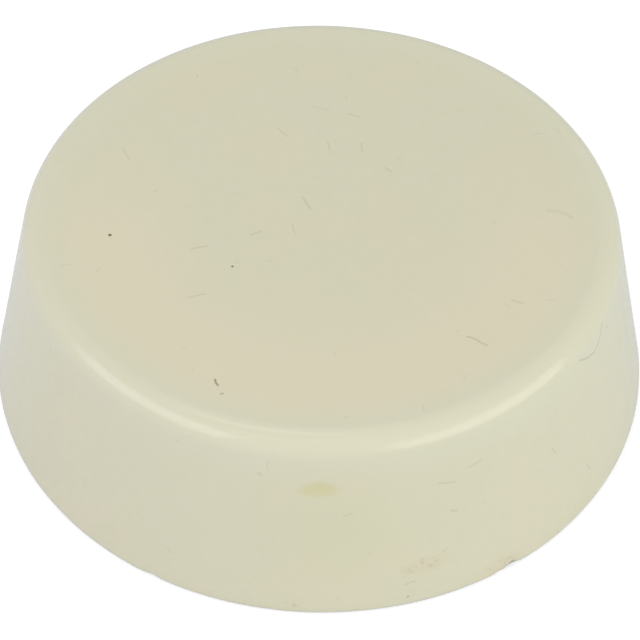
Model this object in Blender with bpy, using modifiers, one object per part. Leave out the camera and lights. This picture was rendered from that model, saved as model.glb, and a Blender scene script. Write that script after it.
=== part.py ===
"""Dealer button: a moulded cream shell closed by a base plate, with a steel weight taped inside.

Metres, +Z up. The origin is the centre of the foot, on the table.
"""

import math

import bpy
from mathutils import Vector

MM = 0.001

# Outer form
FOOT_DIAMETER = 51.0 * MM  # where the wall's line meets the table, before rounding
RIM_DIAMETER = 44.4 * MM  # where the wall's line meets the face's plane, before rounding
HEIGHT = 15.7 * MM
RIM_RADIUS = 2.0 * MM
FOOT_EDGE_RADIUS = 0.4 * MM

# Shell moulding
FACE_THICKNESS = 2.5 * MM
WALL_THICKNESS = 2.5 * MM
INNER_CORNER_RADIUS = 1.0 * MM
FOOT_LIP = 1.1 * MM  # the wall left outside the base plate, at its thinnest
WELL_DEPTH = 5.5 * MM  # ring under the face that keeps the weight central
WELL_THICKNESS = 1.4 * MM
BOSS_WALL = 1.2 * MM
WEB_THICKNESS = 1.4 * MM

# Base plate
BASE_THICKNESS = 2.2 * MM
BASE_RECESS = 0.3 * MM  # keeps the plate off the table, so that the shell's foot carries the button
BASE_CHAMFER = 0.3 * MM
SPIGOT_HEIGHT = 1.5 * MM
SPIGOT_THICKNESS = 1.2 * MM
SUPPORT_DIAMETER = 16.0 * MM  # ring that backs the weight from below
SUPPORT_THICKNESS = 1.4 * MM

# Posts of the plate, pressed into the bosses of the shell
POST_COUNT = 3
POST_DIAMETER = 2.4 * MM
POST_ENGAGEMENT = 4.5 * MM
FIRST_POST_ANGLE = math.radians(90)

# Weight and the tape that holds it under the face
WEIGHT_DIAMETER = 24.0 * MM
WEIGHT_THICKNESS = 5.0 * MM
WEIGHT_CHAMFER = 0.4 * MM
TAPE_THICKNESS = 0.8 * MM
TAPE_INSET = 1.0 * MM

# Gap left between pieces that touch
FIT_GAP = 0.25 * MM

# Mesh fineness
TURN_STEPS = 96
POST_STEPS = 32
RIM_STEPS = 8
EDGE_STEPS = 3
CREASE_ANGLE = math.radians(30)
SCREW_MERGE = 0.00001
CUT_MARGIN = 1.0 * MM

# Heights and radii that follow from the sizes above
FACE_UNDER = HEIGHT - FACE_THICKNESS
BASE_TOP = BASE_RECESS + BASE_THICKNESS
LEDGE = BASE_TOP + FIT_GAP
SPIGOT_TOP = BASE_TOP + SPIGOT_HEIGHT
BOSS_FOOT = SPIGOT_TOP + FIT_GAP
POST_TOP = BOSS_FOOT + POST_ENGAGEMENT
TAPE_TOP = FACE_UNDER - FIT_GAP
WEIGHT_TOP = TAPE_TOP - TAPE_THICKNESS - FIT_GAP
WEIGHT_FOOT = WEIGHT_TOP - WEIGHT_THICKNESS
WELL_RADIUS = WEIGHT_DIAMETER / 2 + FIT_GAP
WELL_OUTER = WELL_RADIUS + WELL_THICKNESS
POST_RADIUS = POST_DIAMETER / 2
BORE_RADIUS = POST_RADIUS + FIT_GAP


def wall_radius(height):
    """Outside radius of the tapered wall's line at a height."""
    taper = (FOOT_DIAMETER - RIM_DIAMETER) / 2 / HEIGHT
    return FOOT_DIAMETER / 2 - taper * height


def inner_radius(height):
    """Inside radius of the tapered wall at a height."""
    return wall_radius(height) - WALL_THICKNESS


SEAT_RADIUS = wall_radius(LEDGE) - FOOT_LIP
POST_CIRCLE_RADIUS = (WELL_OUTER + inner_radius(FACE_UNDER)) / 2


def fillet(before, corner, after, radius, steps):
    """Points of the arc that rounds the corner between two straight runs of a profile."""
    corner = Vector(corner)
    back = (Vector(before) - corner).normalized()
    ahead = (Vector(after) - corner).normalized()
    half = back.angle(ahead) / 2
    centre = corner + (back + ahead).normalized() * (radius / math.sin(half))
    start = corner + back * (radius / math.tan(half)) - centre
    sweep = start.angle_signed(corner + ahead * (radius / math.tan(half)) - centre)
    points = []
    for step in range(steps + 1):
        turn = -sweep * step / steps
        x = start.x * math.cos(turn) - start.y * math.sin(turn)
        z = start.x * math.sin(turn) + start.y * math.cos(turn)
        points.append((centre.x + x, centre.y + z))
    return points


def plastic(name, colour, roughness, metallic=0.0):
    """A Principled material of one colour."""
    material = bpy.data.materials.new(name)
    material.use_nodes = True
    shader = material.node_tree.nodes["Principled BSDF"]
    shader.inputs["Base Color"].default_value = (*colour, 1.0)
    shader.inputs["Roughness"].default_value = roughness
    shader.inputs["Metallic"].default_value = metallic
    return material


def collection(name):
    """A new collection in the scene."""
    made = bpy.data.collections.new(name)
    bpy.context.scene.collection.children.link(made)
    return made


def turned(name, profile, into):
    """A profile of (radius, height) points, listed down its outer side, turned about Z."""
    mesh = bpy.data.meshes.new(name)
    edges = [(index, index + 1) for index in range(len(profile) - 1)]
    mesh.from_pydata([(radius, 0.0, height) for radius, height in profile], edges, [])
    obj = bpy.data.objects.new(name, mesh)
    into.objects.link(obj)
    screw = obj.modifiers.new("Turn", "SCREW")
    screw.axis = "Z"
    screw.steps = TURN_STEPS
    screw.render_steps = TURN_STEPS
    screw.use_merge_vertices = True
    screw.merge_threshold = SCREW_MERGE
    return obj


def as_helper(obj, into):
    """Keeps a shape that only cuts or joins out of the finished part."""
    for owner in obj.users_collection:
        owner.objects.unlink(obj)
    into.objects.link(obj)
    obj.hide_render = True
    obj.display_type = "WIRE"
    return obj


def upright_cylinder(name, radius, low, high, angle, into):
    """A cylinder on the circle of the posts, between two heights."""
    place = (POST_CIRCLE_RADIUS * math.cos(angle), POST_CIRCLE_RADIUS * math.sin(angle), (low + high) / 2)
    bpy.ops.mesh.primitive_cylinder_add(vertices=POST_STEPS, radius=radius, depth=high - low, location=place)
    obj = bpy.context.object
    obj.name = name
    return as_helper(obj, into)


def radial_web(name, low, high, angle, into):
    """An upright plate from the well's ring to the middle of the wall, following the wall's slope."""
    near = WELL_OUTER - WELL_THICKNESS / 2
    outline = [
        (near, 0.0, low),
        (wall_radius(low) - WALL_THICKNESS / 2, 0.0, low),
        (wall_radius(high) - WALL_THICKNESS / 2, 0.0, high),
        (near, 0.0, high),
    ]
    mesh = bpy.data.meshes.new(name)
    mesh.from_pydata(outline, [], [range(len(outline))])
    obj = bpy.data.objects.new(name, mesh)
    obj.rotation_euler.z = angle
    into.objects.link(obj)
    thicken = obj.modifiers.new("Thickness", "SOLIDIFY")
    thicken.thickness = WEB_THICKNESS
    thicken.offset = 0.0
    return as_helper(obj, into)


def combine(obj, other, operation):
    """Joins a helper to an object, or cuts it out."""
    boolean = obj.modifiers.new(other.name, "BOOLEAN")
    boolean.operation = operation
    boolean.solver = "EXACT"
    boolean.object = other


def finish(obj, material):
    """Bakes the modifiers into the mesh, shades it smooth between its edges and colours it."""
    graph = bpy.context.evaluated_depsgraph_get()
    obj.data = bpy.data.meshes.new_from_object(obj.evaluated_get(graph))
    obj.modifiers.clear()
    obj.data.shade_smooth()
    obj.data.set_sharp_from_angle(angle=CREASE_ANGLE)
    obj.data.materials.clear()
    obj.data.materials.append(material)


def post_angles():
    return [FIRST_POST_ANGLE + math.tau * index / POST_COUNT for index in range(POST_COUNT)]


def make_shell(parts, helpers):
    foot = (FOOT_DIAMETER / 2, 0.0)
    rim = (RIM_DIAMETER / 2, HEIGHT)
    inner_foot = (inner_radius(LEDGE), LEDGE)
    inner_corner = (inner_radius(FACE_UNDER), FACE_UNDER)
    well_foot = FACE_UNDER - WELL_DEPTH
    profile = [
        (0.0, HEIGHT),
        *fillet((0.0, HEIGHT), rim, foot, RIM_RADIUS, RIM_STEPS),
        *fillet(rim, foot, (0.0, 0.0), FOOT_EDGE_RADIUS, EDGE_STEPS),
        (SEAT_RADIUS, 0.0),
        (SEAT_RADIUS, LEDGE),
        inner_foot,
        *fillet(inner_foot, inner_corner, (0.0, FACE_UNDER), INNER_CORNER_RADIUS, EDGE_STEPS),
        (WELL_OUTER, FACE_UNDER),
        (WELL_OUTER, well_foot),
        (WELL_RADIUS, well_foot),
        (WELL_RADIUS, FACE_UNDER),
        (0.0, FACE_UNDER),
    ]
    shell = turned("top_shell", profile, parts)
    buried = FACE_UNDER + FACE_THICKNESS / 2
    for number, angle in enumerate(post_angles(), 1):
        boss = upright_cylinder(f"boss_{number}", BORE_RADIUS + BOSS_WALL, BOSS_FOOT, buried, angle, helpers)
        web = radial_web(f"web_{number}", well_foot + WELL_THICKNESS, buried, angle, helpers)
        bore = upright_cylinder(
            f"bore_{number}", BORE_RADIUS, BOSS_FOOT - CUT_MARGIN, POST_TOP + FIT_GAP, angle, helpers
        )
        combine(shell, boss, "UNION")
        combine(shell, web, "UNION")
        combine(shell, bore, "DIFFERENCE")
    finish(shell, plastic("shell_cream", (0.65, 0.63, 0.485), 0.3))


def make_base(parts, helpers):
    edge = SEAT_RADIUS - FIT_GAP
    spigot_outer = min(inner_radius(LEDGE), inner_radius(SPIGOT_TOP)) - FIT_GAP
    spigot_inner = spigot_outer - SPIGOT_THICKNESS
    support_outer = SUPPORT_DIAMETER / 2
    support_inner = support_outer - SUPPORT_THICKNESS
    support_top = WEIGHT_FOOT - FIT_GAP
    profile = [
        (0.0, BASE_TOP),
        (support_inner, BASE_TOP),
        (support_inner, support_top),
        (support_outer, support_top),
        (support_outer, BASE_TOP),
        (spigot_inner, BASE_TOP),
        (spigot_inner, SPIGOT_TOP),
        (spigot_outer, SPIGOT_TOP),
        (spigot_outer, BASE_TOP),
        (edge, BASE_TOP),
        (edge, BASE_RECESS + BASE_CHAMFER),
        (edge - BASE_CHAMFER, BASE_RECESS),
        (0.0, BASE_RECESS),
    ]
    base = turned("base_plate", profile, parts)
    buried = BASE_TOP - BASE_THICKNESS / 2
    for number, angle in enumerate(post_angles(), 1):
        post = upright_cylinder(f"post_{number}", POST_RADIUS, buried, POST_TOP, angle, helpers)
        combine(base, post, "UNION")
    finish(base, plastic("base_cream", (0.63, 0.61, 0.47), 0.38))


def make_weight(parts):
    radius = WEIGHT_DIAMETER / 2
    profile = [
        (0.0, WEIGHT_TOP),
        (radius - WEIGHT_CHAMFER, WEIGHT_TOP),
        (radius, WEIGHT_TOP - WEIGHT_CHAMFER),
        (radius, WEIGHT_FOOT + WEIGHT_CHAMFER),
        (radius - WEIGHT_CHAMFER, WEIGHT_FOOT),
        (0.0, WEIGHT_FOOT),
    ]
    weight = turned("weight_disc", profile, parts)
    finish(weight, plastic("plated_steel", (0.55, 0.55, 0.53), 0.35, metallic=1.0))


def make_tape(parts):
    radius = WEIGHT_DIAMETER / 2 - TAPE_INSET
    foot = TAPE_TOP - TAPE_THICKNESS
    tape = turned("tape_disc", [(0.0, TAPE_TOP), (radius, TAPE_TOP), (radius, foot), (0.0, foot)], parts)
    finish(tape, plastic("tape_foam", (0.8, 0.79, 0.75), 0.85))


def main():
    for obj in list(bpy.data.objects):
        bpy.data.objects.remove(obj)
    parts = collection("dealer_button")
    helpers = collection("cutters")
    make_shell(parts, helpers)
    make_base(parts, helpers)
    make_weight(parts)
    make_tape(parts)


main()
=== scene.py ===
"""Looks of the dealer button: a worn cream moulding on a white studio table."""

import math

import bpy
import numpy as np
from mathutils import Matrix, Vector


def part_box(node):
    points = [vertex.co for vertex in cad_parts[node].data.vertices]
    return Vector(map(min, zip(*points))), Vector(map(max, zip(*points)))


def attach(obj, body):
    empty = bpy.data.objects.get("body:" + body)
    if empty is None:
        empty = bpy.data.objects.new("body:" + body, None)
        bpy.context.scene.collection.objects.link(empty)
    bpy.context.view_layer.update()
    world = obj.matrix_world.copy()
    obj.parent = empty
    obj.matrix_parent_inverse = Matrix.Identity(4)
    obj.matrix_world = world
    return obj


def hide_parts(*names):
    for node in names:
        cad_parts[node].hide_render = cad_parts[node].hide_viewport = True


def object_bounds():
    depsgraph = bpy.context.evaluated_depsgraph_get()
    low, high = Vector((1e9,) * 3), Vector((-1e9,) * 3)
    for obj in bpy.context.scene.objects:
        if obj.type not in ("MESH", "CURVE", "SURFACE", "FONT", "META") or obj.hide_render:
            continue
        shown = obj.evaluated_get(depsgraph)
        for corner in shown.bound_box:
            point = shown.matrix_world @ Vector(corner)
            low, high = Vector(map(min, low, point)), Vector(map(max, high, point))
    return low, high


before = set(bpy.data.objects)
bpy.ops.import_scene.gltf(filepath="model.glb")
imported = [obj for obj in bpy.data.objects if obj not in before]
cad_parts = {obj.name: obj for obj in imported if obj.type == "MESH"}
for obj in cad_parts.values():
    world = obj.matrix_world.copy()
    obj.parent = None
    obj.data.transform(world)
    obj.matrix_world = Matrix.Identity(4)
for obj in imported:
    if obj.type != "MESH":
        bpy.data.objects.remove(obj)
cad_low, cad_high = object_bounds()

MM = 0.001

# Outer form, as in the solids
HEIGHT = cad_high.z
FOOT_CORNER = 25.5 * MM  # where the wall's line meets the table, before rounding
RIM_CORNER = 22.2 * MM  # where the wall's line meets the face's plane, before rounding
RIM_RADIUS = 2.0 * MM
FOOT_EDGE_RADIUS = 0.4 * MM

# Inside of the shell, as in the solids
FIT_GAP = 0.25 * MM
FACE_THICKNESS = 2.5 * MM
WALL_THICKNESS = 2.5 * MM
INNER_CORNER_RADIUS = 1.0 * MM
FOOT_LIP = 1.1 * MM  # the wall left outside the base plate
BASE_THICKNESS = 2.2 * MM
SPIGOT_HEIGHT = 1.5 * MM
WELL_DEPTH = 5.5 * MM  # ring under the face that keeps the weight central
WELL_THICKNESS = 1.4 * MM
POST_RADIUS = 1.2 * MM
BOSS_WALL = 1.2 * MM
WEB_RISE = 1.4 * MM  # from the well's foot to the webs' lower edge
WEB_THICKNESS = 1.4 * MM
BOSS_ANGLES = [math.radians(degrees) for degrees in (90, 210, 330)]
JOIN_OVERLAP = 0.5 * MM  # how far the bosses and webs reach into what they join

# Levels and radii of the inside
FACE_UNDER = HEIGHT - FACE_THICKNESS
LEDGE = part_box("base_plate")[0].z + BASE_THICKNESS + FIT_GAP
WELL_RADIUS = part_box("weight_disc")[1].x + FIT_GAP
WELL_OUTER = WELL_RADIUS + WELL_THICKNESS
WELL_FOOT = FACE_UNDER - WELL_DEPTH
BOSS_FOOT = LEDGE + SPIGOT_HEIGHT
BORE_RADIUS = POST_RADIUS + FIT_GAP
BORE_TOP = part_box("base_plate")[1].z + FIT_GAP
BOSS_RADIUS = BORE_RADIUS + BOSS_WALL
WEB_FOOT = WELL_FOOT + WEB_RISE

# Fineness of the skin
TURN_STEPS = 400
FACE_STEPS = 40
RIM_STEPS = 24
WALL_STEPS = 48
EDGE_STEPS = 8
BOSS_STEPS = 32
CREASE_ANGLE = math.radians(35)

# Faults of the moulding and of use
SINK_DEPTH = 0.05 * MM  # the face dips in the middle, where it cooled last
SINK_RADIUS = 15.0 * MM
FACE_TOLERANCE = 0.01 * MM  # points this close to the face's plane belong to the face
GATE_AZIMUTH = math.radians(-89.8)
GATE_HEIGHT = 11.6 * MM
GATE_HALF_SIZE = np.array((1.5, 1.5, 0.7)) * MM
GATE_DEPTH = 0.06 * MM
# Dents along the foot: azimuth in degrees, height, radius and depth
FOOT_DENTS = [
    (-54.9, 0.1 * MM, 0.55 * MM, 0.22 * MM),
    (-57.5, 0.3 * MM, 0.4 * MM, 0.1 * MM),
    (-118.0, 0.1 * MM, 0.7 * MM, 0.1 * MM),
    (24.0, 0.1 * MM, 0.6 * MM, 0.14 * MM),
    (141.0, 0.2 * MM, 0.8 * MM, 0.12 * MM),
    (95.0, 0.1 * MM, 0.45 * MM, 0.12 * MM),
]
# Faint waves of the skin, one set that sways and one that crosses it: rates are turns per wave length
WAVE_HEIGHT = 0.005 * MM
WAVE_LENGTH = 12.0 * MM
SWAY = 0.7  # radians
SWAY_RATE = 0.6
SWELL_RATE = 0.8
SWELL_START = 1.3  # radians
CROSS_RATES = np.array((1.7, -1.1, 0.9))

# Colours, as linear red, green and blue with alpha
WHITE = (1.0, 1.0, 1.0, 1.0)
CREAM = (0.606, 0.592, 0.447, 1.0)
CREAM_ROSY = (0.62, 0.59, 0.445, 1.0)
CREAM_DARK = (0.592, 0.58, 0.428, 1.0)
CREAM_PALE = (0.655, 0.625, 0.465, 1.0)
CREAM_HANDLED = (0.638, 0.597, 0.445, 1.0)
# Painted light: the paler band on the rim and the top of the wall
CREAM_LIT_RIM = (0.614, 0.6, 0.455, 1.0)
STAIN = (0.585, 0.572, 0.408, 1.0)
GATE_YELLOW = (0.58, 0.553, 0.345, 1.0)
SMEAR = (0.595, 0.545, 0.385, 1.0)
CRUMB = (0.4, 0.31, 0.2, 1.0)
# Painted shade along the foot's lowest edge
FOOT_SHADE = (0.47, 0.46, 0.4, 1.0)
SCRATCH = (0.33, 0.3, 0.22, 1.0)
SPECK = (0.16, 0.12, 0.08, 1.0)
SATIN = (0.60, 0.575, 0.43, 1.0)
SATIN_DARK = (0.57, 0.55, 0.41, 1.0)
SCUFF = (0.40, 0.37, 0.28, 1.0)
GRIT = (0.22, 0.18, 0.12, 1.0)
ZINC = (0.56, 0.56, 0.55, 1.0)
ZINC_WARM = (0.66, 0.65, 0.6, 1.0)
# Painted shade in the foam's hollows
FOAM_SHADED_HOLLOW = (0.62, 0.61, 0.57, 1.0)
FOAM = (0.8, 0.79, 0.76, 1.0)
TABLE = (0.67, 0.68, 0.73, 1.0)
ROOM = (0.99, 1.0, 0.985, 1.0)

# Zones of the shell, each from where it starts to where it is full, in millimetres
FACE_HEIGHTS = (15.0, 15.6)
HANDLED_RADII = (7.0, 16.5)
HANDLED_SIDE = (9.0, -5.0)  # towards the viewer, along y
# Where the rim's band of painted light lies
LIT_RIM_RADII = (18.0, 21.0)
LIT_RIM_HEIGHTS = (11.0, 14.5)
RUBBED_RADII = (21.2, 19.6)
MARKED_HEIGHTS = (15.2, 15.5)
# Where the foot's painted shade lies
FOOT_SHADE_HEIGHTS = (0.8, 0.1)
SHINY_HEIGHTS = (11.5, 13.5)
# How strongly each layer of the shell's look covers what lies under it
MOTTLE_STRENGTH = 0.6
FLECK_STRENGTH = 0.25
RUBBED_PALING = 0.022
STAIN_STRENGTH = 0.8
SMEAR_STRENGTH = 0.45
CRUMB_STRENGTH = 0.3
FOOT_SHADE_STRENGTH = 0.25
LONG_HAIR_STRENGTH = 0.24
SHORT_HAIR_STRENGTH = 0.17
SPECK_STRENGTH = 0.7
# Gloss of the shell: roughness, and specular level where the plain plastic has a half
POLISHED_ROUGHNESS = (0.13, 0.2)
RUBBED_ROUGHNESS = 0.26
WALL_SHINE = 0.3
RIM_SHINE = 0.5
RUBBED_SHINE = 0.04
# Stains: centre and half size in millimetres, and the share of the size over which they fade
GATE_STAIN = ((1.5, -23.5, 8.0), (9.0, 9.0, 8.0), 1.0)
GATE_MARK = ((0.1, -23.1, 11.6), (1.9, 1.9, 0.9), 0.6)
FOOT_SMEARS = [
    ((8.0, -23.5, 3.6), (2.6, 2.6, 1.0), 0.8),
    ((13.9, -21.2, 0.9), (2.2, 2.2, 1.1), 0.8),
    ((-1.4, -25.2, 1.0), (1.0, 1.0, 0.4), 1.0),
]
# Dark specks: centre and radius in millimetres, and strength
SPECKS = [
    ((-15.7, -2.7, 15.7), 0.17, 1.0),
    ((-6.5, -5.6, 15.7), 0.14, 0.95),
    ((6.8, -24.3, 1.0), 0.15, 0.45),
    ((14.6, -20.8, 0.3), 0.5, 0.7),
]
SPECK_EDGE = 0.5  # the share of a speck's radius over which it fades
# Hairs and scratches of the face: points along each in millimetres, half its width, and strength
FACE_MARKS = [
    ([(-7.27, -16.55), (-7.22, -16.85), (-7.05, -17.1)], 0.11, 0.95),
    ([(-6.84, -17.87), (-6.66, -17.84)], 0.11, 0.6),
    ([(10.5, -12.05), (10.75, -12.07), (11.22, -12.3), (11.47, -12.55), (11.95, -12.8)], 0.1, 0.4),
    ([(16.92, 0.87), (17.96, 0.69), (18.68, 0.18)], 0.22, 0.12),
    ([(-15.4, 6.6), (-14.8, 5.3)], 0.1, 0.2),
    ([(-3.6, 9.2), (-2.8, 8.3)], 0.1, 0.2),
    ([(-0.9, 11.8), (0.3, 11.4)], 0.1, 0.16),
    ([(-9.6, -3.9), (-8.4, -3.6)], 0.11, 0.24),
    ([(-9.6, -8.8), (-8.4, -8.4)], 0.11, 0.24),
    ([(-5.2, -2.3), (-4.5, -1.9)], 0.11, 0.24),
    ([(1.9, 11.0), (2.7, 10.7)], 0.11, 0.24),
    ([(-1.5, 1.7), (-0.9, 0.5)], 0.11, 0.24),
    ([(13.9, -8.4), (14.7, -8.7)], 0.11, 0.24),
]
# The same of the rim and wall, with points as azimuth in degrees and height in millimetres
WALL_MARKS = [
    ([(-24.3, 14.3), (-25.3, 13.6), (-26.8, 13.2), (-28.5, 13.0), (-31.1, 13.3), (-33.8, 13.9)], 0.11, 0.4),
    ([(-22.2, 13.1), (-22.6, 13.3)], 0.14, 0.2),
    ([(-68.3, 10.8), (-65.3, 10.5)], 0.11, 0.24),
    ([(-62.4, 11.3), (-59.9, 11.5)], 0.11, 0.24),
    ([(-44.1, 8.7), (-43.3, 8.1)], 0.11, 0.24),
    ([(-35.3, 4.2), (-34.5, 3.4)], 0.11, 0.24),
    ([(-66.2, 8.0), (-65.2, 7.8)], 0.14, 0.24),
]
UNROLL_RADIUS = 23.0  # the wall's mean radius in millimetres, which turns azimuth into length
# The share of a mark's half width, half length or radius that is at full strength
STROKE_CORE = 0.35
HAIR_CORE = 0.4
HAIR_RUN = 0.6
SPECK_CORE = 0.3
REDRAW = 7.0  # what a cell's chance is multiplied by to draw a second one from its digits

# Camera of the photograph
CAMERA_LENS = 135.0
SENSOR_WIDTH = 36.0
CAMERA_DISTANCE = 185.5 * MM
CAMERA_ELEVATION = math.radians(47.07)
CAMERA_ROLL = math.radians(1.22)
AIM_DROP = 2.72 * MM  # the frame's centre lies this far below the button's middle, across the view
CLIP_START = 1.0 * MM
CLIP_END = 20.0

# Table and room
TABLE_HALF_WIDTH = 6.0
ROOM_STRENGTH = 0.785
# Rays that see the room as pure white
SEEING_RAYS = ["Is Camera Ray", "Is Glossy Ray", "Is Transmission Ray"]
# How far the table is lifted towards white. Reflections see it less lifted than the eye does,
# because a fully lifted table whitens the edges of the polished wall
TABLE_LIFTS = {"Is Camera Ray": 0.45, "Is Glossy Ray": 0.1, "Is Transmission Ray": 0.45}
# Soft panels: azimuth and elevation in degrees, distance and size in metres, radiance and colour
PANELS = {
    "left_panel": (-149, 30, 0.5, (0.5, 0.26), 2.0, (0.95, 0.92, 1.0)),
    "right_panel": (-35, 15, 0.5, (0.6, 0.29), 1.95, (1.0, 1.0, 0.95)),
    "ceiling_panel": (180, 83, 0.7, (0.14, 0.34), 1.3, (1.0, 1.0, 1.0)),
    "front_panel": (-93, 57, 0.6, (0.45, 0.06), 0.85, (1.0, 1.0, 1.0)),
}


def wall_radius(height):
    """Outside radius of the tapered wall's line at a height."""
    return FOOT_CORNER - (FOOT_CORNER - RIM_CORNER) * height / HEIGHT


def fillet(before, corner, after, radius, steps):
    """Points of the arc that rounds the corner between two straight runs of a profile."""
    corner = Vector(corner)
    back = (Vector(before) - corner).normalized()
    ahead = (Vector(after) - corner).normalized()
    half = back.angle(ahead) / 2
    centre = corner + (back + ahead).normalized() * (radius / math.sin(half))
    start = corner + back * (radius / math.tan(half)) - centre
    end = corner + ahead * (radius / math.tan(half)) - centre
    sweep = start.angle_signed(end)
    turns = [Matrix.Rotation(-sweep * step / steps, 2) for step in range(steps + 1)]
    return [tuple(centre + turn @ start) for turn in turns]


def run(start, end, steps):
    """Points evenly spaced along a straight run, without its two ends."""
    start, end = Vector(start), Vector(end)
    return [tuple(start.lerp(end, step / steps)) for step in range(1, steps)]


def outer_profile():
    """The seen side of the shell as (radius, height) points, from the face's middle to the foot."""
    rim = (RIM_CORNER, HEIGHT)
    foot = (FOOT_CORNER, 0.0)
    rim_arc = fillet((0.0, HEIGHT), rim, foot, RIM_RADIUS, RIM_STEPS)
    foot_arc = fillet(rim, foot, (0.0, 0.0), FOOT_EDGE_RADIUS, EDGE_STEPS)
    face = run((0.0, HEIGHT), rim_arc[0], FACE_STEPS)
    wall = run(rim_arc[-1], foot_arc[0], WALL_STEPS)
    return [*face, *rim_arc, *wall, *foot_arc]


def inner_profile():
    """The hidden side of the shell, from the foot back towards the axis."""
    seat = wall_radius(LEDGE) - FOOT_LIP
    low = (wall_radius(LEDGE) - WALL_THICKNESS, LEDGE)
    corner = (wall_radius(FACE_UNDER) - WALL_THICKNESS, FACE_UNDER)
    return [
        (seat, 0.0),
        (seat, LEDGE),
        low,
        *fillet(low, corner, (0.0, FACE_UNDER), INNER_CORNER_RADIUS, EDGE_STEPS),
        (WELL_OUTER, FACE_UNDER),
        (WELL_OUTER, WELL_FOOT),
        (WELL_RADIUS, WELL_FOOT),
        (WELL_RADIUS, FACE_UNDER),
    ]


def bump_at(points, centre, radius):
    """A round hill of height 1 about a centre, at each of the points."""
    return np.exp(-(((points - centre) / radius) ** 2).sum(-1))


def on_wall(azimuth, height):
    """The point of the wall at an azimuth and a height."""
    radius = wall_radius(height)
    return np.array((radius * math.cos(azimuth), radius * math.sin(azimuth), height))


def worn(points, normals):
    """Moves the points of the seen side by the moulding's and the wear's small faults."""
    phases = points / WAVE_LENGTH * math.tau
    x, y = phases[..., 0], phases[..., 1]
    long_waves = np.sin(x + SWAY * np.sin(SWAY_RATE * y)) * np.sin(SWELL_RATE * y + SWELL_START)
    cross_waves = np.sin(phases @ CROSS_RATES)
    # The waves only go inwards, so that the skin stays within the solid's outline
    depth = WAVE_HEIGHT * (2.0 - long_waves - cross_waves)
    flat = points * (1.0, 1.0, 0.0)
    on_face = points[..., 2] > HEIGHT - FACE_TOLERANCE
    depth += SINK_DEPTH * bump_at(flat, 0.0, SINK_RADIUS) * on_face
    depth += GATE_DEPTH * bump_at(points, on_wall(GATE_AZIMUTH, GATE_HEIGHT), GATE_HALF_SIZE)
    for azimuth, height, radius, dent_depth in FOOT_DENTS:
        depth += dent_depth * bump_at(points, on_wall(math.radians(azimuth), height), radius)
    return points - normals * depth[..., None]


def ring_faces(rows, steps):
    """Quads between the rows of a turned grid."""
    row, step = np.meshgrid(np.arange(rows - 1), np.arange(steps), indexing="ij")
    ahead = (step + 1) % steps
    here, below = row * steps, (row + 1) * steps
    corners = [here + step, below + step, below + ahead, here + ahead]
    return np.stack(corners, -1).reshape(-1, len(corners)).tolist()


def shell_mesh():
    """Points and faces of the shell's skin, closed from the face round to its underside."""
    outer, inner = outer_profile(), inner_profile()
    profile = np.array(outer + inner)
    angles = np.arange(TURN_STEPS) / TURN_STEPS * math.tau
    around = np.stack([np.cos(angles), np.sin(angles), np.zeros(TURN_STEPS)], -1)
    upright = np.array((0.0, 0.0, 1.0))
    grid = profile[:, None, :1] * around + profile[:, None, 1:] * upright
    slope = np.gradient(np.array(outer), axis=0)
    slope /= np.linalg.norm(slope, axis=1, keepdims=True)
    normals = -slope[:, None, 1:] * around + slope[:, None, :1] * upright
    grid[: len(outer)] = worn(grid[: len(outer)], normals)
    points = grid.reshape(-1, 3).tolist()
    faces = ring_faces(len(profile), TURN_STEPS)
    top, under = len(points), len(points) + 1
    last = (len(profile) - 1) * TURN_STEPS
    points += [(0.0, 0.0, float(grid[0, :, 2].mean())), (0.0, 0.0, FACE_UNDER)]
    for step in range(TURN_STEPS):
        ahead = (step + 1) % TURN_STEPS
        faces.append((top, step, ahead))
        faces.append((under, last + ahead, last + step))
    return points, faces


def boss_mesh(angle):
    """Points and faces of one boss: a tube, blind at its top, that the base plate's post enters."""
    middle = (WELL_OUTER + wall_radius(FACE_UNDER) - WALL_THICKNESS) / 2
    profile = [
        (BOSS_RADIUS, FACE_UNDER + JOIN_OVERLAP),
        (BOSS_RADIUS, BOSS_FOOT),
        (BORE_RADIUS, BOSS_FOOT),
        (BORE_RADIUS, BORE_TOP),
    ]
    points = []
    for radius, height in profile:
        for step in range(BOSS_STEPS):
            turn = math.tau * step / BOSS_STEPS
            x = middle * math.cos(angle) + radius * math.cos(turn)
            y = middle * math.sin(angle) + radius * math.sin(turn)
            points.append((x, y, height))
    faces = ring_faces(len(profile), BOSS_STEPS)
    last = (len(profile) - 1) * BOSS_STEPS
    faces.append(list(range(BOSS_STEPS)))
    faces.append([last + step for step in reversed(range(BOSS_STEPS))])
    return points, faces


def web_mesh(angle):
    """Points and faces of one web: an upright plate from the well's ring to inside the wall."""
    top = FACE_UNDER + JOIN_OVERLAP
    near = WELL_OUTER - JOIN_OVERLAP
    outline = [
        (near, WEB_FOOT),
        (wall_radius(WEB_FOOT) - WALL_THICKNESS / 2, WEB_FOOT),
        (wall_radius(top) - WALL_THICKNESS / 2, top),
        (near, top),
    ]
    turn = Matrix.Rotation(angle, 3, "Z")
    points = []
    for side in (-WEB_THICKNESS / 2, WEB_THICKNESS / 2):
        points += [tuple(turn @ Vector((radius, side, height))) for radius, height in outline]
    corners = len(outline)
    faces = [list(range(corners)), [corners + index for index in reversed(range(corners))]]
    for index in range(corners):
        ahead = (index + 1) % corners
        faces.append([ahead, index, corners + index, corners + ahead])
    return points, faces


def add_body(name, points, faces):
    """A mesh object of its own in the scene."""
    mesh = bpy.data.meshes.new(name)
    mesh.from_pydata(points, [], faces)
    body = bpy.data.objects.new(name, mesh)
    bpy.context.scene.collection.objects.link(body)
    return body


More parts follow.
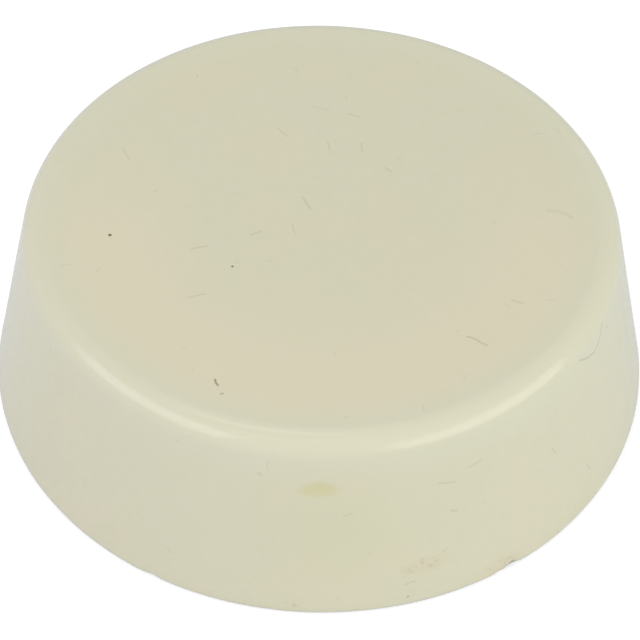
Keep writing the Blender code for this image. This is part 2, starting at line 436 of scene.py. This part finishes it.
def make_shell(material):
    """The shell's fine skin, joined with its bosses and webs, in place of the faceted solid."""
    skin = add_body("shell_skin", *shell_mesh())
    ribs = [add_body("rib", *part(angle)) for angle in BOSS_ANGLES for part in (boss_mesh, web_mesh)]
    for rib in ribs:
        joint = skin.modifiers.new(rib.name, "BOOLEAN")
        joint.operation = "UNION"
        joint.solver = "MANIFOLD"
        joint.object = rib
    joined = skin.evaluated_get(bpy.context.evaluated_depsgraph_get())
    mesh = bpy.data.meshes.new_from_object(joined)
    skin.modifiers.clear()
    skin.data = mesh
    for rib in ribs:
        bpy.data.objects.remove(rib)
    mesh.shade_smooth()
    mesh.set_sharp_from_angle(angle=CREASE_ANGLE)
    mesh.materials.clear()
    mesh.materials.append(material)
    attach(skin, "root")
    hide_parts("top_shell")


class Nodes:
    """A node tree, with short calls for the nodes that the materials and the room share."""

    def __init__(self, tree):
        self.tree = tree

    def add(self, kind, inputs=(), **settings):
        """A new node of a kind, with its inputs by name or number and its settings."""
        node = self.tree.nodes.new("ShaderNode" + kind)
        for setting, value in settings.items():
            setattr(node, setting, value)
        for socket, value in dict(inputs).items():
            self.set(node.inputs[socket], value)
        return node

    def set(self, socket, value):
        """Links a socket to another one, or gives it a plain value."""
        if isinstance(value, bpy.types.NodeSocket):
            self.tree.links.new(value, socket)
        else:
            socket.default_value = value

    def math(self, operation, first, second=0.0, clamp=False):
        """One step of arithmetic on numbers."""
        inputs = {0: first, 1: second}
        return self.add("Math", inputs, operation=operation, use_clamp=clamp).outputs[0]

    def product(self, first, second):
        """Two masks together, or one at a strength."""
        return self.math("MULTIPLY", first, second)

    def most(self, masks):
        """The largest of several masks."""
        total = masks[0]
        for mask in masks[1:]:
            total = self.math("MAXIMUM", total, mask)
        return total


class Surface(Nodes):
    """A material's nodes, with masks and patterns placed in millimetres on the part."""

    def __init__(self, name):
        self.material = bpy.data.materials.new(name)
        self.material.use_nodes = True
        super().__init__(self.material.node_tree)
        self.shader = self.tree.nodes["Principled BSDF"]
        self.place = self.vector("SCALE", self.add("TexCoord").outputs["Object"], scale=1 / MM)

    def give(self, socket, value):
        """Sets one of the shader's own inputs."""
        self.set(self.shader.inputs[socket], value)

    def vector(self, operation, first, second=(0.0, 0.0, 0.0), scale=1.0):
        """One step of arithmetic on vectors."""
        node = self.add("VectorMath", {0: first, 1: second, 3: scale}, operation=operation)
        single = operation in ("LENGTH", "DOT_PRODUCT", "DISTANCE")
        return node.outputs["Value" if single else "Vector"]

    def axes(self, place):
        """The x, y and z of a place."""
        return self.add("SeparateXYZ", {0: place}).outputs

    def flat(self, place):
        """A place brought down to the plane of the table."""
        return self.vector("MULTIPLY", place, (1.0, 1.0, 0.0))

    def radius(self):
        """The distance from the button's axis."""
        return self.vector("LENGTH", self.flat(self.place))

    def ramp(self, value, start, end, low=0.0, high=1.0):
        """A soft step from low to high as the value goes from start to end."""
        inputs = {0: value, 1: start, 2: end, 3: low, 4: high}
        return self.add("MapRange", inputs, interpolation_type="SMOOTHSTEP").outputs[0]

    def mix(self, factor, first, second):
        """One colour turned into another by a mask."""
        node = self.add("Mix", data_type="RGBA")
        for index, value in ((0, factor), (6, first), (7, second)):
            self.set(node.inputs[index], value)
        return node.outputs[2]

    def noise(self, size, detail=2.0, roughness=0.5):
        """Noise whose features are about a size across."""
        inputs = {"Vector": self.place, "Scale": 1 / size, "Detail": detail, "Roughness": roughness}
        return self.add("TexNoise", inputs).outputs[0]

    def wobbled(self, size, amount):
        """The position, pushed about by noise of a size."""
        inputs = {"Vector": self.place, "Scale": 1 / size, "Detail": 2.0}
        noise = self.add("TexNoise", inputs).outputs["Color"]
        push = self.vector("SUBTRACT", noise, (0.5, 0.5, 0.5))
        return self.vector("ADD", self.place, self.vector("SCALE", push, scale=2 * amount))

    def spot(self, centre, half_size, edge, place):
        """1 inside an ellipsoid and 0 outside it, soft over the share edge of its size."""
        off = self.vector("SUBTRACT", place, centre)
        share = self.vector("LENGTH", self.vector("DIVIDE", off, half_size))
        return self.ramp(share, 1.0, 1.0 - edge)

    def stroke(self, start, end, half_width, place):
        """1 along a straight line from start to end, in the plane of a place, and 0 away from it."""
        start, end = Vector((*start, 0.0)), Vector((*end, 0.0))
        along = end - start
        off = self.vector("SUBTRACT", place, tuple(start))
        share = self.vector("DOT_PRODUCT", off, tuple(along / along.length_squared))
        share = self.math("MULTIPLY", share, 1.0, clamp=True)
        nearest = self.vector("SCALE", tuple(along), scale=share)
        return self.ramp(self.vector("DISTANCE", off, nearest), half_width, half_width * STROKE_CORE)

    def chain(self, points, half_width, strength, place):
        """A line through points, in the plane of a place, as a mask of a strength."""
        strokes = [self.stroke(start, end, half_width, place) for start, end in zip(points, points[1:])]
        return self.product(self.most(strokes), strength)

    def cells(self, size, place):
        """A random point in each cell of a size: the nearest one's distance, colour and position."""
        return self.add("TexVoronoi", {"Vector": place, "Scale": 1 / size}, feature="F1").outputs

    def hairs(self, cell, length, width, share, place):
        """Short hairs, each at its own slant, in a share of the cells."""
        cells = self.cells(cell, place)
        chance = self.add("SeparateColor", {0: cells["Color"]}).outputs[0]
        # The colour also sets the slant, so the chance is drawn afresh from it
        redrawn = self.math("FRACT", self.product(chance, REDRAW))
        kept = self.math("LESS_THAN", redrawn, share)
        across = self.vector("SUBTRACT", cells["Color"], (0.5, 0.5, 0.5))
        off = self.vector("SUBTRACT", place, cells["Position"])
        aside = self.vector("DOT_PRODUCT", off, self.vector("NORMALIZE", across))
        line = self.ramp(self.math("ABSOLUTE", aside), width / 2, HAIR_CORE * width / 2)
        near = self.ramp(self.vector("LENGTH", off), length / 2, HAIR_RUN * length / 2)
        return self.product(kept, self.product(line, near))

    def specks(self, cell, size, share):
        """Round specks, one in each of a share of the cells."""
        cells = self.cells(cell, self.place)
        near = self.ramp(cells["Distance"], size / cell, SPECK_CORE * size / cell)
        chance = self.add("SeparateColor", {0: cells["Color"]}).outputs[0]
        return self.product(near, self.math("LESS_THAN", chance, share))

    def bump(self, height, distance, normal=None):
        """A bump whose height of 1 stands a distance proud, in metres, over an earlier one if given."""
        inputs = {"Height": height, "Distance": distance, "Strength": 1.0}
        if normal:
            inputs["Normal"] = normal
        return self.add("Bump", inputs).outputs[0]


def mottled(nodes):
    """Cream with coarse and fine mottling and pale flecks."""
    coarse = nodes.ramp(nodes.noise(size=7.0, detail=3.0), start=0.35, end=0.65)
    colour = nodes.mix(coarse, CREAM, CREAM_ROSY)
    fine = nodes.ramp(nodes.noise(size=0.7, detail=3.0), start=0.4, end=0.75, high=MOTTLE_STRENGTH)
    colour = nodes.mix(fine, colour, CREAM_DARK)
    flecks = nodes.specks(cell=1.7, size=0.35, share=0.3)
    return nodes.mix(nodes.product(flecks, FLECK_STRENGTH), colour, CREAM_PALE)


def handled_and_lit_rim(nodes, colour, rubbed):
    """Warmed near the face's edge towards the viewer, paler where rubbed, and with a paler band of painted
    light on the rim.
    """
    radius = nodes.radius()
    axes = nodes.axes(nodes.place)
    warmed = nodes.product(nodes.ramp(radius, *HANDLED_RADII), nodes.ramp(axes["Y"], *HANDLED_SIDE))
    warmed = nodes.product(warmed, nodes.ramp(axes["Z"], *FACE_HEIGHTS))
    colour = nodes.mix(warmed, colour, CREAM_HANDLED)
    # Painted light: a paler band over the rim and the top of the wall stands in for light passing through
    # the plastic
    rim = nodes.product(nodes.ramp(radius, *LIT_RIM_RADII), nodes.ramp(axes["Z"], *LIT_RIM_HEIGHTS))
    colour = nodes.mix(rim, colour, CREAM_LIT_RIM)
    return nodes.mix(nodes.product(rubbed, RUBBED_PALING), colour, WHITE)


def stains_and_foot_shade(nodes, colour, strayed):
    """A stain and a yellow mark at the gate, dirt rubbed into the foot, and painted shade along the foot's
    lowest edge.
    """
    stain = nodes.spot(*GATE_STAIN, strayed)
    colour = nodes.mix(nodes.product(stain, STAIN_STRENGTH), colour, STAIN)
    colour = nodes.mix(nodes.spot(*GATE_MARK, strayed), colour, GATE_YELLOW)
    smear = nodes.most([nodes.spot(*patch, strayed) for patch in FOOT_SMEARS])
    colour = nodes.mix(nodes.product(smear, SMEAR_STRENGTH), colour, SMEAR)
    crumbs = nodes.ramp(nodes.noise(size=0.4), start=0.5, end=0.7, high=CRUMB_STRENGTH)
    colour = nodes.mix(nodes.product(smear, crumbs), colour, CRUMB)
    # Painted shade: the wall darkens over its lowest millimetre, towards the table
    foot_shade = nodes.ramp(nodes.axes(nodes.place)["Z"], *FOOT_SHADE_HEIGHTS, high=FOOT_SHADE_STRENGTH)
    return nodes.mix(foot_shade, colour, FOOT_SHADE)


def scratched(nodes, colour, strayed):
    """Single hairs and scratches at their places, and small ones all over."""
    bent = nodes.wobbled(size=0.8, amount=0.06)
    on_plane = nodes.flat(bent)
    on_top = nodes.ramp(nodes.axes(nodes.place)["Z"], *MARKED_HEIGHTS)
    face_marks = nodes.most([nodes.chain(*mark, on_plane) for mark in FACE_MARKS])
    marks = [nodes.product(face_marks, on_top)]
    axes = nodes.axes(bent)
    turn = nodes.product(nodes.math("ARCTAN2", axes["Y"], axes["X"]), UNROLL_RADIUS)
    unrolled = nodes.add("CombineXYZ", {0: turn, 1: axes["Z"]}).outputs[0]
    for points, half_width, strength in WALL_MARKS:
        points = [(math.radians(azimuth) * UNROLL_RADIUS, height) for azimuth, height in points]
        marks.append(nodes.chain(points, half_width, strength, unrolled))
    long_hairs = nodes.hairs(cell=3.0, length=1.3, width=0.1, share=0.2, place=strayed)
    short_hairs = nodes.hairs(cell=1.5, length=0.7, width=0.12, share=0.14, place=strayed)
    marks.append(nodes.product(long_hairs, LONG_HAIR_STRENGTH))
    marks.append(nodes.product(short_hairs, SHORT_HAIR_STRENGTH))
    return nodes.mix(nodes.most(marks), colour, SCRATCH)


def speckled(nodes, colour):
    """Dark specks, some at their places and some at random."""
    specks = [nodes.product(nodes.specks(cell=3.4, size=0.12, share=0.1), SPECK_STRENGTH)]
    for centre, size, strength in SPECKS:
        speck = nodes.spot(centre, (size, size, size), SPECK_EDGE, nodes.place)
        specks.append(nodes.product(speck, strength))
    return nodes.mix(nodes.most(specks), colour, SPECK)


def cream_plastic():
    """Old polished cream plastic, with a face rubbed duller than the rim and wall."""
    nodes = Surface("worn_cream_plastic")
    height = nodes.axes(nodes.place)["Z"]
    strayed = nodes.wobbled(size=0.8, amount=0.3)
    rubbed = nodes.product(nodes.ramp(nodes.radius(), *RUBBED_RADII), nodes.ramp(height, *FACE_HEIGHTS))
    colour = handled_and_lit_rim(nodes, mottled(nodes), rubbed)
    colour = stains_and_foot_shade(nodes, colour, strayed)
    colour = scratched(nodes, colour, strayed)
    nodes.give("Base Color", speckled(nodes, colour))
    # Patchy gloss, strongest on the rim and weakest on the face
    patches = nodes.noise(size=4.0, detail=3.0, roughness=0.6)
    least, greatest = POLISHED_ROUGHNESS
    polished = nodes.ramp(patches, start=0.3, end=0.75, low=least, high=greatest)
    nodes.give("Roughness", nodes.ramp(rubbed, 0.0, 1.0, polished, RUBBED_ROUGHNESS))
    shine = nodes.ramp(height, *SHINY_HEIGHTS, WALL_SHINE, RIM_SHINE)
    nodes.give("Specular IOR Level", nodes.ramp(rubbed, 0.0, 1.0, shine, RUBBED_SHINE))
    nodes.give("Normal", nodes.bump(nodes.noise(size=1.0), distance=0.006 * MM))
    nodes.give("IOR", 1.45)
    nodes.give("Subsurface Weight", 0.25)
    nodes.give("Subsurface Radius", (1.0, 0.9, 0.6))
    nodes.give("Subsurface Scale", 1.0 * MM)
    return nodes.material


def satin_plastic():
    """Cream plastic as it left the mould, lightly scuffed."""
    nodes = Surface("satin_cream_plastic")
    cloud = nodes.ramp(nodes.noise(size=6.0, detail=3.0), start=0.35, end=0.7)
    colour = nodes.mix(cloud, SATIN, SATIN_DARK)
    bent = nodes.wobbled(size=2.0, amount=0.4)
    scuffs = nodes.hairs(cell=4.5, length=4.0, width=0.12, share=0.7, place=bent)
    colour = nodes.mix(nodes.product(scuffs, 0.45), colour, SCUFF)
    specks = nodes.specks(cell=2.6, size=0.15, share=0.2)
    nodes.give("Base Color", nodes.mix(nodes.product(specks, 0.6), colour, GRIT))
    patches = nodes.noise(size=3.0, detail=4.0)
    nodes.give("Roughness", nodes.ramp(patches, start=0.3, end=0.7, low=0.36, high=0.5))
    grain = nodes.bump(nodes.noise(size=0.35), distance=0.01 * MM)
    nodes.give("Normal", nodes.bump(scuffs, distance=-0.02 * MM, normal=grain))
    return nodes.material


def plated_steel():
    """Zinc-plated steel with the rings that the lathe left on it."""
    nodes = Surface("plated_steel")
    ring_inputs = {"W": nodes.radius(), "Scale": 6.0, "Detail": 4.0}
    rings = nodes.add("TexNoise", ring_inputs, noise_dimensions="1D").outputs[0]
    cloud = nodes.noise(size=3.5, detail=4.0, roughness=0.6)
    nodes.give("Base Color", nodes.mix(nodes.ramp(cloud, start=0.3, end=0.7), ZINC, ZINC_WARM))
    nodes.give("Roughness", nodes.ramp(cloud, start=0.3, end=0.7, low=0.28, high=0.42))
    nodes.give("Normal", nodes.bump(rings, distance=0.01 * MM))
    nodes.give("Metallic", 1.0)
    return nodes.material


def tape_foam():
    """White foam with fine open cells, their hollows darkened with painted shade."""
    nodes = Surface("tape_foam")
    cells = nodes.add("TexVoronoi", {"Vector": nodes.place, "Scale": 3.0}).outputs["Distance"]
    # Painted shade: each cell's hollow is darker than its edge
    nodes.give("Base Color", nodes.mix(nodes.ramp(cells, start=0.1, end=0.6), FOAM_SHADED_HOLLOW, FOAM))
    nodes.give("Normal", nodes.bump(cells, distance=0.05 * MM))
    nodes.give("Roughness", 0.85)
    return nodes.material


def redress(node_name, material):
    """Gives a solid of the frame its material."""
    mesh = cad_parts[node_name].data
    mesh.materials.clear()
    mesh.materials.append(material)


def make_table():
    """A wide pale table, lifted towards white for the eye while it keeps the button's shadow."""
    near, far = -TABLE_HALF_WIDTH, TABLE_HALF_WIDTH
    corners = [(near, near, 0.0), (far, near, 0.0), (far, far, 0.0), (near, far, 0.0)]
    table = add_body("table", corners, [(0, 1, 2, 3)])
    nodes = Surface("white_table")
    nodes.give("Base Color", TABLE)
    nodes.give("Roughness", 0.9)
    nodes.give("Specular IOR Level", 0.0)
    nodes.give("Emission Color", WHITE)
    path = nodes.add("LightPath").outputs
    lifts = [nodes.product(path[ray], lift) for ray, lift in TABLE_LIFTS.items()]
    nodes.give("Emission Strength", nodes.most(lifts))
    table.data.materials.append(nodes.material)


def make_panel(name, azimuth, elevation, distance, size, radiance, colour):
    """A soft panel that faces the button, as bright as a white of its radiance."""
    light = bpy.data.lights.new(name, "AREA")
    light.shape = "RECTANGLE"
    light.size, light.size_y = size
    light.energy = radiance * math.pi * size[0] * size[1]
    light.color = colour
    panel = bpy.data.objects.new(name, light)
    bpy.context.scene.collection.objects.link(panel)
    swing = Matrix.Rotation(math.radians(azimuth), 3, "Z")
    tilt = Matrix.Rotation(math.radians(-elevation), 3, "Y")
    back = swing @ tilt @ Vector((1.0, 0.0, 0.0))
    panel.location = Vector((0.0, 0.0, HEIGHT)) + back * distance
    panel.rotation_euler = back.to_track_quat("Z", "Y").to_euler()


def make_room():
    """An even, pale room that eyes and reflections see as white."""
    world = bpy.data.worlds.new("room")
    bpy.context.scene.world = world
    world.use_nodes = True
    nodes = Nodes(world.node_tree)
    path = nodes.add("LightPath").outputs
    seen = nodes.most([path[ray] for ray in SEEING_RAYS])
    lit = nodes.tree.nodes["Background"]
    nodes.set(lit.inputs["Color"], ROOM)
    nodes.set(lit.inputs["Strength"], ROOM_STRENGTH)
    white = nodes.add("Background", {"Color": WHITE})
    either = nodes.add("MixShader", {0: seen, 1: lit.outputs[0], 2: white.outputs[0]})
    nodes.set(nodes.tree.nodes["World Output"].inputs["Surface"], either.outputs[0])


def make_camera():
    """A camera at the photograph's angle, distance and tilt."""
    data = bpy.data.cameras.new("camera")
    data.lens = CAMERA_LENS
    data.sensor_width = SENSOR_WIDTH
    data.clip_start = CLIP_START
    data.clip_end = CLIP_END
    camera = bpy.data.objects.new("camera", data)
    bpy.context.scene.collection.objects.link(camera)
    middle = Vector((0.0, 0.0, HEIGHT / 2))
    back = Vector((0.0, -math.cos(CAMERA_ELEVATION), math.sin(CAMERA_ELEVATION)))
    up = Vector((0.0, math.sin(CAMERA_ELEVATION), math.cos(CAMERA_ELEVATION)))
    camera.location = middle + back * CAMERA_DISTANCE
    aim = middle - up * AIM_DROP
    facing = (aim - camera.location).to_track_quat("-Z", "Y").to_matrix()
    camera.rotation_euler = (facing @ Matrix.Rotation(CAMERA_ROLL, 3, "Z")).to_euler()
    bpy.context.scene.camera = camera


make_shell(cream_plastic())
redress("base_plate", satin_plastic())
redress("weight_disc", plated_steel())
redress("tape_disc", tape_foam())
make_table()
for panel_name, settings in PANELS.items():
    make_panel(panel_name, *settings)
make_room()
make_camera()
bpy.context.scene.view_settings.view_transform = "Standard"
